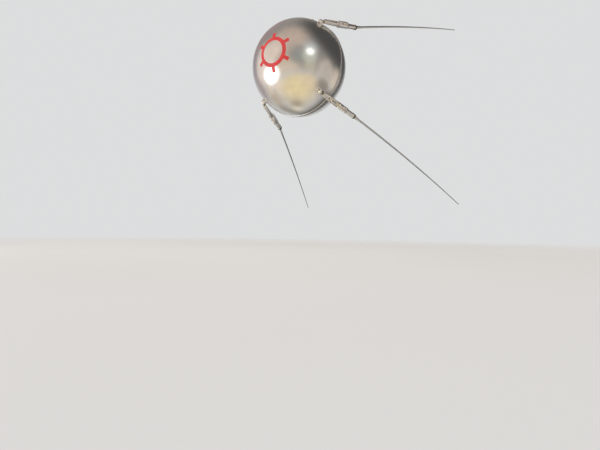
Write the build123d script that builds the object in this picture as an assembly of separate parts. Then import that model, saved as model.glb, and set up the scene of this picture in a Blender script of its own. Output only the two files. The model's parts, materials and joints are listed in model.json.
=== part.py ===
from build123d import *
from math import acos, cos, radians, sin, sqrt
import os

# Half-scale museum model of an early satellite: a polished ball in two half shells,
# bolted at a seam, with four whip antennas hinged on the front half and swept back.
# Lengths are millimetres and angles are degrees. +Z is up, +X is to the right when
# looking along +Y, and the ball's axis runs along Y with its front pole towards -Y.
# The origin is the hanging point, midway between the bores of the two eyes on top.

# Ball and seam
ball_radius = 145.0
shell_wall = 2.0
seam_behind_centre = 7.0
front_flange_depth = 4.0
rear_flange_depth = 5.0
flange_reach_inwards = 15.0
flange_proud = 1.5
flange_edge_round = 0.8
rim_depth = 8.0
rim_wall = 8.0
bolt_count = 36
bolt_circle_inset = 2.5
bolt_pocket_radius = 3.8
bolt_pocket_depth = 5.5

# Hanging eyes on top of the rear flange
eye_angle = 15.0
eye_outer_radius = 5.5
eye_bore_radius = 3.0
eye_thickness = 2.4
eye_neck_height = 1.5
eye_shank_radius = 1.8
eye_shank_depth = 6.0
fixed_fit = 0.05

# Hinge seat on the shell, for each antenna
pivot_from_front_pole = 71.6
pivot_height = 7.6
seat_radius = 8.8
seat_thickness = 1.2
seat_gap = 0.1
ear_radius = 4.2
ear_thickness = 1.8
ear_clearance = 0.3
pin_radius = 1.5
pin_head_radius = 2.6
pin_head_height = 1.0
pin_running_fit = 0.06

# Antenna root: a flattened ball on a neck, with a dark collar
root_ball_radius = 5.8
root_ball_half_width = 3.9
neck_radius = 3.0
neck_end = 20.0
collar_start = 7.0
collar_radius = 4.2
collar_gap = 0.2

# Channel arm, open away from the ball, that widens from its neck
arm_splay = 20.4
arm_start = 13.0
arm_end = 78.0
arm_front_width = 10.0
arm_width = 16.4
arm_full_width_at = 48.0
arm_below_axis = 3.5
arm_above_axis = 6.0
arm_wall = 1.6
arm_block_end = 21.0
arm_corner_radius = 3.0
arm_hole_at = 43.6
arm_hole_radius = 2.2

# Split clamp with three cross bolts, screwed into the channel by its tongue
tongue_start = 50.0
tongue_height = 4.5
tongue_side_gap = 0.1
clamp_end = 122.0
clamp_radius = 8.9
clamp_slit = 1.6
lug_half_width = 4.6
lug_height = 9.6
clamp_bolt_places = (83.5, 101.0, 111.0)
clamp_bolt_height = 7.4
clamp_bolt_hole_radius = 1.2

# Holder tube with a thinner seat in the clamp, insulator and ferrule
tube_in_clamp = 40.0
tube_seat_radius = 5.4
tube_end = 155.5
tube_radius = 7.3
bead_length = 4.0
bead_radius = 8.0
insulator_end = 162.5
insulator_radius = 7.6
ferrule_ring_length = 3.0
ferrule_ring_radius = 6.2
ferrule_cone_length = 20.0
ferrule_cone_radius = 5.0
ferrule_tip_radius = 3.5

# Whip: a tapered rod that droops a little under its own weight
whip_splay = 28.0
whip_root_radius = 3.2
whip_tip_radius = 1.4
whip_spans = 5
upper_whip_length = 600.0
upper_whip_droop = 23.0
lower_whip_length = 640.0
lower_whip_droop = 31.0

# Antenna name, angle about the ball's axis from straight up towards +X,
# length from the insulator to the tip, droop of the tip
antennas = (
    ("upper_left", -45.0, upper_whip_length, upper_whip_droop),
    ("upper_right", 45.0, upper_whip_length, upper_whip_droop),
    ("lower_right", 135.0, lower_whip_length, lower_whip_droop),
    ("lower_left", 225.0, lower_whip_length, lower_whip_droop),
)

band_radius = ball_radius + flange_proud
flange_inner_radius = ball_radius - flange_reach_inwards
rim_inner_radius = ball_radius - rim_wall
bolt_circle_radius = ball_radius - bolt_circle_inset
band_front = seam_behind_centre - front_flange_depth
band_rear = seam_behind_centre + rear_flange_depth
rim_rear = band_rear + rim_depth
eye_y = seam_behind_centre + rear_flange_depth / 2
eye_centre_radius = band_radius + eye_neck_height + eye_outer_radius
ball_centre = Vector(0, -eye_y, -eye_centre_radius * cos(radians(eye_angle)))
tube_start = clamp_end - tube_in_clamp
across = Vector(1, 0, 0)


def on_ball(radius, y):
    """Point of a meridian, as distance from the axis and place along it."""
    return (sqrt(max(radius**2 - y**2, 0.0)), y)


def meridian_arc(radius, y_from, y_to):
    """Arc of a ball's outline between two places along its axis."""
    turn_from = acos(max(-1.0, min(1.0, y_from / radius)))
    turn_to = acos(max(-1.0, min(1.0, y_to / radius)))
    turn_mid = (turn_from + turn_to) / 2
    middle = (radius * sin(turn_mid), radius * cos(turn_mid))
    return ThreePointArc(on_ball(radius, y_from), middle, on_ball(radius, y_to))


def turned(edges):
    """Solid turned about the ball's axis from a closed outline."""
    return revolve(make_face(edges), Axis.Y, 360)


def half_shell(y_outer_from, y_outer_to, y_inner_from, y_inner_to):
    """Part of the hollow ball between two flat ends."""
    inner_radius = ball_radius - shell_wall
    outer = meridian_arc(ball_radius, y_outer_from, y_outer_to)
    inner = meridian_arc(inner_radius, y_inner_from, y_inner_to)
    start = Line(on_ball(ball_radius, y_outer_from), on_ball(inner_radius, y_inner_from))
    end = Line(on_ball(ball_radius, y_outer_to), on_ball(inner_radius, y_inner_to))
    return turned([outer, inner, start, end])


def front_shell():
    inner_radius = ball_radius - shell_wall
    return half_shell(-ball_radius, band_front, -inner_radius, band_front)


def rear_shell():
    inner_radius = ball_radius - shell_wall
    return half_shell(rim_rear, ball_radius, rim_rear, inner_radius)


def front_flange():
    depth = front_flange_depth
    width = band_radius - flange_inner_radius
    outline = Pos(flange_inner_radius + width / 2, band_front + depth / 2) * Rectangle(width, depth)
    ring = revolve(outline, Axis.Y, 360)
    front_edge = ring.edges().filter_by(GeomType.CIRCLE).filter_by(
        lambda edge: edge.radius > ball_radius and edge.center().Y < seam_behind_centre - depth / 2
    )
    return fillet(front_edge, flange_edge_round)


def rear_flange():
    """Rear half of the seam, with a rim behind it that holds the bolts in open pockets."""
    corners = (
        on_ball(ball_radius, band_rear),
        (band_radius, band_rear),
        (band_radius, seam_behind_centre),
        (flange_inner_radius, seam_behind_centre),
        (flange_inner_radius, band_rear),
        (rim_inner_radius, band_rear),
        (rim_inner_radius, rim_rear),
        on_ball(ball_radius, rim_rear),
    )
    edges = [Line(start, end) for start, end in zip(corners, corners[1:])]
    ring = turned(edges + [meridian_arc(ball_radius, band_rear, rim_rear)])
    pocket = Plane.XZ * Pos(0, bolt_circle_radius, -band_rear - bolt_pocket_depth)
    pocket = pocket * extrude(Circle(bolt_pocket_radius), bolt_pocket_depth)
    pitch = 360.0 / bolt_count
    ring = ring - [pocket.rotate(Axis.Y, number * pitch) for number in range(bolt_count)]
    shank = eye_shank(eye_shank_radius + fixed_fit)
    return ring - [shank.rotate(Axis.Y, side * eye_angle) for side in (-1, 1)]


def eye_shank(radius):
    """Round shank of a hanging eye, from inside the flange to half way through the eye's wall."""
    eye_wall = eye_outer_radius - eye_bore_radius
    length = eye_shank_depth + eye_neck_height + eye_wall / 2
    base = Pos(0, eye_y, band_radius - eye_shank_depth)
    return base * Cylinder(radius, length, align=(Align.CENTER, Align.CENTER, Align.MIN))


def hanging_eye(side):
    centre = Pos(0, eye_y, eye_centre_radius) * Rot(90, 0, 0)
    ring = eye_shank(eye_shank_radius) + centre * Cylinder(eye_outer_radius, eye_thickness)
    ring = ring - centre * Cylinder(eye_bore_radius, 2 * eye_thickness)
    return ring.rotate(Axis.Y, side * eye_angle)


# Each antenna is drawn straight above the ball's axis and then turned about it.
from_pole = radians(pivot_from_front_pole)
outward = Vector(0, -cos(from_pole), sin(from_pole))
pivot = outward * (ball_radius + pivot_height)
arm_way = Vector(0, cos(radians(arm_splay)), sin(radians(arm_splay)))
whip_way = Vector(0, cos(radians(whip_splay)), sin(radians(whip_splay)))
arm_out = Vector(0, -sin(radians(arm_splay)), cos(radians(arm_splay)))
seat_place = Plane(origin=outward * ball_radius, x_dir=across, z_dir=outward)
arm_place = Plane(origin=pivot, x_dir=across, z_dir=arm_out)
bend_point = pivot + arm_way * insulator_end
ear_inside = root_ball_half_width + ear_clearance
ear_outside = ear_inside + ear_thickness


def round_bar(radius, start, end):
    """Bar along the arm, between two distances from the pivot."""
    return Pos(0, start, 0) * Rot(-90, 0, 0) * Cylinder(
        radius, end - start, align=(Align.CENTER, Align.CENTER, Align.MIN)
    )


def cross_bar(radius, length):
    return Rot(0, 90, 0) * Cylinder(radius, length)


def block(width, start, end, low, high):
    """Block along the arm, centred across it."""
    centre = Pos(0, (start + end) / 2, (low + high) / 2)
    return centre * Box(width, end - start, high - low)


def hinge_seat():
    """Pad that follows the ball, with two ears for the hinge pin."""
    underside = Sphere(ball_radius + seat_gap)
    topside = Sphere(ball_radius + seat_gap + seat_thickness)
    pad = seat_place * Cylinder(seat_radius, 4 * seat_radius)
    pad = (pad & topside) - underside
    height = pivot_height
    ear = Pos(0, 0, height / 2) * Box(ear_thickness, 2 * ear_radius, height)
    ear = ear + Pos(0, 0, height) * cross_bar(ear_radius, ear_thickness)
    ear = ear - Pos(0, 0, height) * cross_bar(pin_radius + fixed_fit, 2 * ear_thickness)
    offset = (ear_inside + ear_outside) / 2
    for side in (-1, 1):
        pad = pad + (seat_place * Pos(side * offset, 0, 0) * ear - underside)
    return pad


def hinge_pin():
    reach = ear_outside + pin_head_height
    head = cross_bar(pin_head_radius, pin_head_height)
    pin = cross_bar(pin_radius, 2 * reach)
    for side in (-1, 1):
        pin = pin + Pos(side * (ear_outside + pin_head_height / 2), 0, 0) * head
    return arm_place * pin


def root_ball():
    width = 2 * root_ball_radius
    ball = Sphere(root_ball_radius) & Box(2 * root_ball_half_width, width, width)
    ball = ball + round_bar(neck_radius, 0, neck_end)
    return arm_place * (ball - cross_bar(pin_radius + pin_running_fit, width))


def root_collar():
    ring = round_bar(collar_radius, collar_start, arm_start - collar_gap)
    return arm_place * (ring - round_bar(neck_radius + fixed_fit, 0, arm_start))


def channel_plan(start, end, inset, low, high):
    """Block with the arm's outline seen from above, drawn in by an inset on both sides."""
    taper = (arm_width - arm_front_width) / 2 / (arm_full_width_at - arm_start)
    half_start = arm_front_width / 2 + taper * (start - arm_start) - inset
    half_end = arm_width / 2 - inset
    corners = [
        (-half_start, start),
        (-half_end, arm_full_width_at),
        (-half_end, end),
        (half_end, end),
        (half_end, arm_full_width_at),
        (half_start, start),
    ]
    return Pos(0, 0, low) * extrude(make_face(Polyline(*corners, close=True)), high - low)


def arm_channel():
    """Channel with a solid front block for the neck and a hole in its web."""
    bar = channel_plan(arm_start, arm_end, 0, -arm_below_axis, arm_above_axis)
    corners = bar.edges().filter_by(Axis.Z).sort_by(Axis.Y)[:2]
    bar = fillet(corners, arm_corner_radius)
    web_top = arm_wall - arm_below_axis
    bar = bar - channel_plan(arm_block_end, arm_end, arm_wall, web_top, arm_above_axis)
    bar = bar - round_bar(neck_radius + fixed_fit, 0, neck_end + fixed_fit)
    hole = Pos(0, arm_hole_at, -arm_below_axis) * Cylinder(arm_hole_radius, 4 * arm_wall)
    return arm_place * (bar - hole)


def arm_clamp():
    """Split clamp round the holder tube, with a tongue that lies in the channel."""
    web_top = arm_wall - arm_below_axis
    tongue_width = arm_width - 2 * (arm_wall + tongue_side_gap)
    body = round_bar(clamp_radius, arm_end, clamp_end)
    body = body + block(2 * lug_half_width, arm_end, clamp_end, 0, lug_height)
    body = body + block(tongue_width, tongue_start, arm_end, web_top, web_top + tongue_height)
    body = body - round_bar(tube_seat_radius + fixed_fit, tube_start, clamp_end)
    body = body - block(clamp_slit, tube_start, clamp_end, 0, lug_height)
    for place in clamp_bolt_places:
        hole = cross_bar(clamp_bolt_hole_radius, 3 * lug_half_width)
        body = body - Pos(0, place, clamp_bolt_height) * hole
    return arm_place * body


def holder_tube():
    seat = round_bar(tube_seat_radius, tube_start, tube_end)
    tube = seat + round_bar(tube_radius, clamp_end + fixed_fit, tube_end)
    return arm_place * (tube + round_bar(bead_radius, tube_end - bead_length, tube_end))


def insulator():
    """Dark bush that takes the bend between the holder and the whip."""
    start = Plane(origin=pivot + arm_way * tube_end, x_dir=across, z_dir=arm_way)
    end = Plane(origin=bend_point, x_dir=across, z_dir=whip_way)
    faces = [start * Circle(insulator_radius), end * Circle(insulator_radius)]
    return loft(faces, ruled=True)


def ferrule():
    place = Plane(origin=bend_point, x_dir=across, z_dir=whip_way)
    upright = (Align.CENTER, Align.CENTER, Align.MIN)
    ring = Cylinder(ferrule_ring_radius, ferrule_ring_length, align=upright)
    cone = Cone(ferrule_cone_radius, ferrule_tip_radius, ferrule_cone_length, align=upright)
    return place * (ring + Pos(0, 0, ferrule_ring_length) * cone)


def whip(angle, length, droop):
    """Tapered rod from the ferrule to the tip, already turned to its place."""
    root = ferrule_ring_length + ferrule_cone_length
    start = bend_point.rotate(Axis.Y, angle)
    way = whip_way.rotate(Axis.Y, angle)
    faces = []
    for number in range(whip_spans + 1):
        share = number / whip_spans
        along = root + share * (length - root)
        centre = start + way * along - Vector(0, 0, droop * share**2)
        tangent = way - Vector(0, 0, 2 * droop * share / (length - root))
        radius = whip_root_radius + share * (whip_tip_radius - whip_root_radius)
        side = tangent.cross(Vector(0, 0, 1))
        faces.append(Plane(origin=centre, x_dir=side, z_dir=tangent) * Circle(radius))
    return loft(faces, ruled=True) + Pos(centre) * Sphere(whip_tip_radius)


def save(solid, node):
    """Write one piece, moved so that the hanging point is the origin."""
    export_step(Pos(ball_centre) * solid, "parts/" + node + ".step")


os.makedirs("parts", exist_ok=True)
save(front_shell(), "front_shell")
save(rear_shell(), "rear_shell")
save(front_flange(), "front_flange")
save(rear_flange(), "rear_flange")
save(hanging_eye(-1), "hanging_eye_left")
save(hanging_eye(1), "hanging_eye_right")

antenna_pieces = {
    "hinge_seat": hinge_seat(),
    "hinge_pin": hinge_pin(),
    "root_ball": root_ball(),
    "root_collar": root_collar(),
    "arm_channel": arm_channel(),
    "arm_clamp": arm_clamp(),
    "holder_tube": holder_tube(),
    "insulator": insulator(),
    "ferrule": ferrule(),
}
for antenna, angle, whip_length, whip_droop in antennas:
    for piece, solid in antenna_pieces.items():
        save(solid.rotate(Axis.Y, angle), piece + "_" + antenna)
    save(whip(angle, whip_length, whip_droop), "whip_" + antenna)
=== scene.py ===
import json
from contextlib import contextmanager
from math import asin, cos, degrees, pi, radians, sin, sqrt

import bmesh
import bpy
from bpy.props import FloatProperty, FloatVectorProperty, IntProperty, PointerProperty
from mathutils import Matrix, Vector


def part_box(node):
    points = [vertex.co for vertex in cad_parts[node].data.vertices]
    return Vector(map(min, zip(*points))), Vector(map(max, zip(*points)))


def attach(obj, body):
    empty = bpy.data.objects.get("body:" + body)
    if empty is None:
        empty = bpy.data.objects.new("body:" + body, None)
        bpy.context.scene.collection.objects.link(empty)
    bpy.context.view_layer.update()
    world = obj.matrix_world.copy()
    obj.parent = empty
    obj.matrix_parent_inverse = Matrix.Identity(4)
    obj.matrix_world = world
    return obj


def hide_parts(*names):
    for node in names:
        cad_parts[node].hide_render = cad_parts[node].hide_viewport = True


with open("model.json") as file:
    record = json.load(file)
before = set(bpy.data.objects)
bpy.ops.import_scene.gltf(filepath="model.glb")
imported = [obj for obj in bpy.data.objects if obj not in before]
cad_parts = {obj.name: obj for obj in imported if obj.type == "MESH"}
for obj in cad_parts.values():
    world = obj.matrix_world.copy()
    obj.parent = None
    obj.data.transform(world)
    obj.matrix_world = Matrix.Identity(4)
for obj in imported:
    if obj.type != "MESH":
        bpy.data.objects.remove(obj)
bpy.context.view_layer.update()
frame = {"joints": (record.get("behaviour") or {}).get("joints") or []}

bl_info = {
    "name": "Hanging Model Satellite",
    "version": (1, 0, 0),
    "blender": (4, 5, 0),
    "location": "View3D > Sidebar > Satellite",
    "description": "Polished ball in two bolted half shells with four hinged whip antennas",
    "category": "Object",
}

along_axis = Vector((0, 1, 0))
upright = Vector((0, 0, 1))

# Quarter turns of a turned part, which lies along Y: upright, towards X and away from X
stand_up = Matrix.Rotation(pi / 2, 4, "X")
lie_across = Matrix.Rotation(-pi / 2, 4, "Z")
lie_back = Matrix.Rotation(pi / 2, 4, "Z")

# Quarter turn that lays an upright primitive along Y
on_its_side = (pi / 2, 0, 0)

# Tenth of a millimetre for roundings and grooves, clearance of a bore, and what counts as one spot
tenth = 0.0001
bore_gap = tenth / 2
same_spot = tenth / 100

# Places along an arm, from its pivot
tongue_screw_spots = (0.0573, 0.0665)
bolt_spots = (0.0835, 0.101, 0.111)

# Steps in which the corners of the milled pieces are rounded
corner_steps = 8

# Name under which each point of a piece keeps its own place, which the patterns are drawn on
own_place = "own_place"


# Sizes and colours that a user would change

def length(name, text, value):
    return FloatProperty(name=name, description=text, default=value, unit="LENGTH", precision=5)


def turn(name, text, angle):
    return FloatProperty(name=name, description=text, default=radians(angle), subtype="ANGLE")


def colour(name, text, value):
    return FloatVectorProperty(name=name, description=text, default=value, subtype="COLOR",
                               size=3, min=0.0, max=1.0)


def share(name, text, value):
    return FloatProperty(name=name, description=text, default=value, subtype="FACTOR", min=0.0, max=1.0)


class BallSizes(bpy.types.PropertyGroup):
    wall: length("Shell wall", "Thickness of the two spun half shells", 0.002)
    flange_proud: length("Flange height", "How far the seam's band stands above the ball", 0.0015)
    flange_reach: length("Flange reach", "How far the flanges reach in from the ball's surface", 0.015)
    front_depth: length("Front flange", "Depth of the front flange along the ball's axis", 0.004)
    rear_depth: length("Rear flange", "Depth of the rear flange along the ball's axis", 0.005)
    edge_round: length("Band edge", "Rounding of the band's front edge", 0.0008)
    rim_wall: length("Rim wall", "How far the rim reaches in from the ball's surface", 0.008)
    screw_count: IntProperty(name="Seam screws", description="Number of screws round the seam", default=36)
    screw_inset: length("Screw circle", "How far inside the ball's surface the screws stand", 0.0025)
    pocket_radius: length("Pocket radius", "Radius of the open pocket round each screw", 0.0038)
    pocket_depth: length("Pocket depth", "Depth of each pocket behind the band", 0.0055)
    screw_head: length("Screw head", "Radius of a seam screw's head", 0.0027)
    screw_height: length("Screw height", "Height of a seam screw's head", 0.003)
    washer: length("Washer radius", "Radius of the washer under a seam screw", 0.0034)
    washer_height: length("Washer height", "Thickness of the washer under a seam screw", 0.0005)


class EyeSizes(bpy.types.PropertyGroup):
    spread: turn("Eye spread", "Angle of each hanging eye from straight up", 15)
    outer: length("Eye radius", "Outer radius of a hanging eye", 0.0055)
    bore: length("Eye bore", "Radius of a hanging eye's bore", 0.003)
    neck: length("Eye neck", "Height of the bare neck below a hanging eye", 0.0015)
    shank: length("Shank radius", "Radius of a hanging eye's shank", 0.0018)


class HingeSizes(bpy.types.PropertyGroup):
    pad: length("Pad radius", "Radius of the hinge pad on the shell", 0.0088)
    pad_height: length("Pad height", "Thickness of the hinge pad", 0.0012)
    pad_gap: length("Pad gap", "Gap between the pad and the shell", 0.0001)
    ear: length("Ear radius", "Radius of a hinge ear", 0.0042)
    ear_inside: length("Ear inside", "Distance of an ear's inner face from the middle", 0.0042)
    ear_width: length("Ear thickness", "Thickness of a hinge ear", 0.0018)
    pin: length("Pin radius", "Radius of the hinge pin", 0.0015)
    pin_head: length("Pin head radius", "Radius of the pin's domed heads", 0.0026)
    pin_head_height: length("Pin head height", "Height of the pin's domed heads", 0.001)
    swivel: length("Root ball radius", "Radius of the flattened ball at an antenna's root", 0.0058)
    swivel_half: length("Root ball flats", "Distance of the root ball's flats from the middle", 0.0039)
    neck: length("Neck radius", "Radius of the neck behind the root ball", 0.003)
    neck_end: length("Neck end", "Where the neck ends, from the pivot", 0.02)
    sleeve: length("Collar radius", "Outer radius of the dark collar", 0.0042)
    sleeve_start: length("Collar start", "Where the dark collar starts, from the pivot", 0.007)
    sleeve_end: length("Collar end", "Where the dark collar ends, from the pivot", 0.0128)
    pad_screw: length("Pad screw radius", "Radius of the four pad screws' heads", 0.0009)
    pad_screw_height: length("Pad screw height", "Height of the pad screws' heads", 0.0007)
    pad_screw_across: length("Pad screw spread", "Distance of a pad screw from the middle, across", 0.0042)
    pad_screw_along: length("Pad screw reach", "Distance of a pad screw from the middle, along", 0.0063)


class ArmSizes(bpy.types.PropertyGroup):
    splay: turn("Arm splay", "Angle of the arm from the ball's axis", 20.4)
    start: length("Arm start", "Where the channel starts, from the pivot", 0.013)
    end: length("Arm end", "Where the channel ends, from the pivot", 0.078)
    front_width: length("Front width", "Width of the channel at its neck", 0.01)
    width: length("Arm width", "Full width of the channel", 0.0164)
    full_at: length("Full width place", "Where the channel reaches its full width", 0.048)
    below: length("Below the axis", "Depth of the channel's floor below the arm's axis", 0.0035)
    above: length("Above the axis", "Height of the channel's walls above the arm's axis", 0.006)
    wall: length("Arm wall", "Wall of the channel", 0.0016)
    block_end: length("Block end", "Where the channel's solid front block ends", 0.021)
    corner: length("Arm corner", "Rounding of the channel's front corners", 0.003)
    edge: length("Arm edge", "Broken edge of the milled pieces", 0.00035)
    hole_at: length("Hole place", "Place of the hole in the channel's web", 0.0436)
    hole: length("Hole radius", "Radius of the hole in the channel's web", 0.0022)
    tongue_start: length("Tongue start", "Where the clamp's tongue starts, from the pivot", 0.05)
    tongue_height: length("Tongue height", "Height of the clamp's tongue", 0.0045)
    tongue_gap: length("Tongue gap", "Gap each side of the tongue in the channel", 0.0001)
    clamp_end: length("Clamp end", "Where the split clamp ends, from the pivot", 0.122)
    clamp: length("Clamp radius", "Outer radius of the split clamp", 0.0089)
    slit: length("Slit", "Width of the clamp's slit", 0.0016)
    lug: length("Lug half width", "Half width of the clamp's lugs", 0.0046)
    lug_height: length("Lug height", "Height of the lugs above the arm's axis", 0.0096)
    bolt_height: length("Bolt height", "Height of the cross bolts above the arm's axis", 0.0074)
    bolt: length("Bolt head radius", "Radius of a cross bolt's head", 0.003)
    bolt_head: length("Bolt head height", "Height of a cross bolt's head", 0.0032)
    nut: length("Nut radius", "Radius of a nut over its corners", 0.003)
    nut_height: length("Nut height", "Height of a nut", 0.0022)
    tongue_screw: length("Tongue screw radius", "Radius of a tongue screw's head", 0.0021)
    tongue_screw_height: length("Tongue screw height", "Height of a tongue screw's head", 0.0018)


class HolderSizes(bpy.types.PropertyGroup):
    tube_start: length("Tube start", "Where the holder tube starts, from the pivot", 0.082)
    seat: length("Tube seat radius", "Radius of the tube's thinner seat in the clamp", 0.0054)
    shoulder: length("Tube shoulder", "Where the tube's full thickness starts, from the pivot", 0.12205)
    tube_end: length("Tube end", "Where the holder tube ends, from the pivot", 0.1555)
    tube: length("Tube radius", "Outer radius of the holder tube", 0.0073)
    bead: length("Bead radius", "Radius of the bead at the holder's end", 0.008)
    bead_length: length("Bead length", "Length of the bead at the holder's end", 0.004)
    slot_start: length("Slot start", "Where the slot in the holder tube starts", 0.134)
    slot_end: length("Slot end", "Where the slot in the holder tube ends", 0.149)
    slot_width: length("Slot width", "Width of the slot in the holder tube", 0.0032)
    slot_depth: length("Slot depth", "Depth of the slot in the holder tube", 0.0012)
    bush_end: length("Bush end", "Where the dark bush ends, from the pivot", 0.1625)
    bush: length("Bush radius", "Radius of the dark bush", 0.0076)
    ring_length: length("Ferrule ring length", "Length of the ferrule's ring", 0.003)
    ring: length("Ferrule ring radius", "Radius of the ferrule's ring", 0.0062)
    cone_length: length("Cone length", "Length of the ferrule's cone", 0.02)
    cone: length("Cone radius", "Radius of the ferrule's cone at its thick end", 0.005)
    cone_tip: length("Cone tip radius", "Radius of the ferrule's cone at its thin end", 0.0035)


class WhipSizes(bpy.types.PropertyGroup):
    splay: turn("Whip splay", "Angle of a whip from the ball's axis at its root", 28)
    root: length("Root radius", "Radius of a whip at its root", 0.0032)
    tip: length("Tip radius", "Radius of a whip at its tip", 0.0014)
    upper_length: length("Upper whip", "Length of an upper whip from the bush", 0.5999)
    upper_droop: length("Upper droop", "Droop of an upper whip's tip", 0.023)
    lower_length: length("Lower whip", "Length of a lower whip from the bush", 0.6398)
    lower_droop: length("Lower droop", "Droop of a lower whip's tip", 0.031)
    stations: IntProperty(name="Stations", description="Lengths that a whip is drawn in", default=14)
    sides: IntProperty(name="Sides", description="Sides of a whip's section", default=20)


class Finishes(bpy.types.PropertyGroup):
    shell: colour("Shell", "Polished aluminium of the half shells", (0.76, 0.745, 0.72))
    shell_rough: share("Shell roughness", "Roughness of the polished half shells", 0.2)
    paint: colour("Paint", "Red paint of the mark on the front pole", (0.84, 0.052, 0.062))
    seam: colour("Seam", "Machined aluminium of the flanges", (0.6, 0.6, 0.61))
    bright: colour("Bright fittings", "Nickelled hinge and eye pieces", (0.88, 0.86, 0.83))
    milled: colour("Milled pieces", "Satin aluminium of the arms and holders", (0.86, 0.845, 0.82))
    steel: colour("Screws", "Steel of the screws and nuts", (0.62, 0.61, 0.6))
    black: colour("Bush", "Black insulating plastic", (0.018, 0.018, 0.02))
    bronze: colour("Collar", "Darkened bronze of the collars", (0.27, 0.24, 0.215))
    whip: colour("Whips", "Drawn rod of the whips", (0.66, 0.67, 0.66))
    mark_ring: length("Mark ring", "Radius of the painted ring's middle line", 0.0375)
    mark_stroke: length("Mark stroke", "Width of the painted strokes", 0.0105)
    mark_reach: length("Mark reach", "Distance of the painted strokes' ends from the pole", 0.0565)


class StageSizes(bpy.types.PropertyGroup):
    eye: FloatVectorProperty(name="Camera place", description="Place of the camera", subtype="TRANSLATION",
                             default=(0.6622, -1.0624, -0.6610), precision=4)
    yaw: turn("Camera yaw", "Turn of the camera from +Y towards -X", 31.713)
    pitch: turn("Camera pitch", "Tilt of the camera above the horizon", 1.155)
    roll: turn("Camera roll", "Roll of the camera", 0.84)
    lens: FloatProperty(name="Lens", description="Focal length on a 36 mm wide sensor", default=24.0,
                        unit="CAMERA")
    floor_below: length("Floor below camera", "How far the floor lies below the camera", 0.045)
    floor: colour("Floor", "Pale floor", (0.74, 0.725, 0.7))
    backdrop: colour("Backdrop", "Pale wall behind the object", (0.72, 0.725, 0.73))
    room: colour("Room", "Rest of the studio's walls and ceiling", (0.36, 0.335, 0.31))


# Node trees written as expressions

class Wire:
    """A value in a node tree that takes part in plain arithmetic."""

    def __init__(self, socket):
        self.socket = socket
        self.tree = socket.id_data

    def make(self, kind, settings=None, sockets=None, out=0):
        return add_node(self.tree, kind, settings, sockets, out)

    def math(self, operation, *values):
        return self.make("ShaderNodeMath", {"operation": operation}, dict(enumerate(values)))

    def __add__(self, other):
        return self.math("ADD", self, other)

    def __sub__(self, other):
        return self.math("SUBTRACT", self, other)

    def __rsub__(self, other):
        return self.math("SUBTRACT", other, self)

    def __mul__(self, other):
        return self.math("MULTIPLY", self, other)

    __radd__ = __add__

    def size(self):
        return self.math("ABSOLUTE", self)

    def root(self):
        return self.math("SQRT", self)

    def least(self, other):
        return self.math("MINIMUM", self, other)

    def most(self, other):
        return self.math("MAXIMUM", self, other)

    def ramp(self, low, high):
        """0 below low and 1 above high, with a smooth step between."""
        return self.make("ShaderNodeMapRange", {"interpolation_type": "SMOOTHSTEP"},
                         {"Value": self, "From Min": low, "From Max": high})

    def below(self, limit, soft):
        """1 where the value is under the limit, with a soft edge."""
        return 1 - self.ramp(limit - soft / 2, limit + soft / 2)

    def blend(self, low, high):
        """Colour between two others, by this value."""
        return self.make("ShaderNodeMix", {"data_type": "RGBA"}, {0: self, 6: low, 7: high}, 2)

    def parts(self):
        """The three numbers of a vector."""
        split = self.make("ShaderNodeSeparateXYZ", None, {0: self}).socket.node
        return [Wire(split.outputs[number]) for number in range(3)]


def add_node(tree, kind, settings=None, sockets=None, out=0):
    """One node, its settings first and then the values or links of its sockets."""
    made = tree.nodes.new(kind)
    for key, value in (settings or {}).items():
        setattr(made, key, value)
    for key, value in (sockets or {}).items():
        socket = made.inputs[key]
        if isinstance(value, Wire):
            tree.links.new(value.socket, socket)
        elif isinstance(value, (tuple, list)) and len(value) == 3 and socket.type == "RGBA":
            socket.default_value = (*value, 1.0)
        else:
            socket.default_value = value
    return Wire(made.outputs[out])


def noise(place, scale, detail, stretch=None):
    """Soft random value on a place, drawn out where stretch is small."""
    if stretch:
        place = place.make("ShaderNodeMapping", None, {"Vector": place, "Scale": stretch})
    return place.make("ShaderNodeTexNoise", None, {"Vector": place, "Scale": scale, "Detail": detail})


def dimmed(tint, part_left):
    return tuple(part * part_left for part in tint)


def finish(name, base, roughness):
    """New material. Returns its shader and the piece's own place to draw patterns on."""
    material = bpy.data.materials.new(name)
    material.use_nodes = True
    tree = material.node_tree
    shader = tree.nodes["Principled BSDF"]
    shader.inputs["Base Color"].default_value = (*base, 1.0)
    shader.inputs["Roughness"].default_value = roughness
    material.diffuse_color = (*base, 1.0)
    return shader, add_node(tree, "ShaderNodeAttribute", {"attribute_name": own_place}, None, "Vector")


def feed(shader, socket, value):
    shader.id_data.links.new(value.socket, shader.inputs[socket])


def raise_grain(shader, height, distance, strength=1.0):
    """Fine relief from a height value."""
    bump = height.make("ShaderNodeBump", None,
                       {"Height": height, "Distance": distance, "Strength": strength}, "Normal")
    feed(shader, "Normal", bump)


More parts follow.
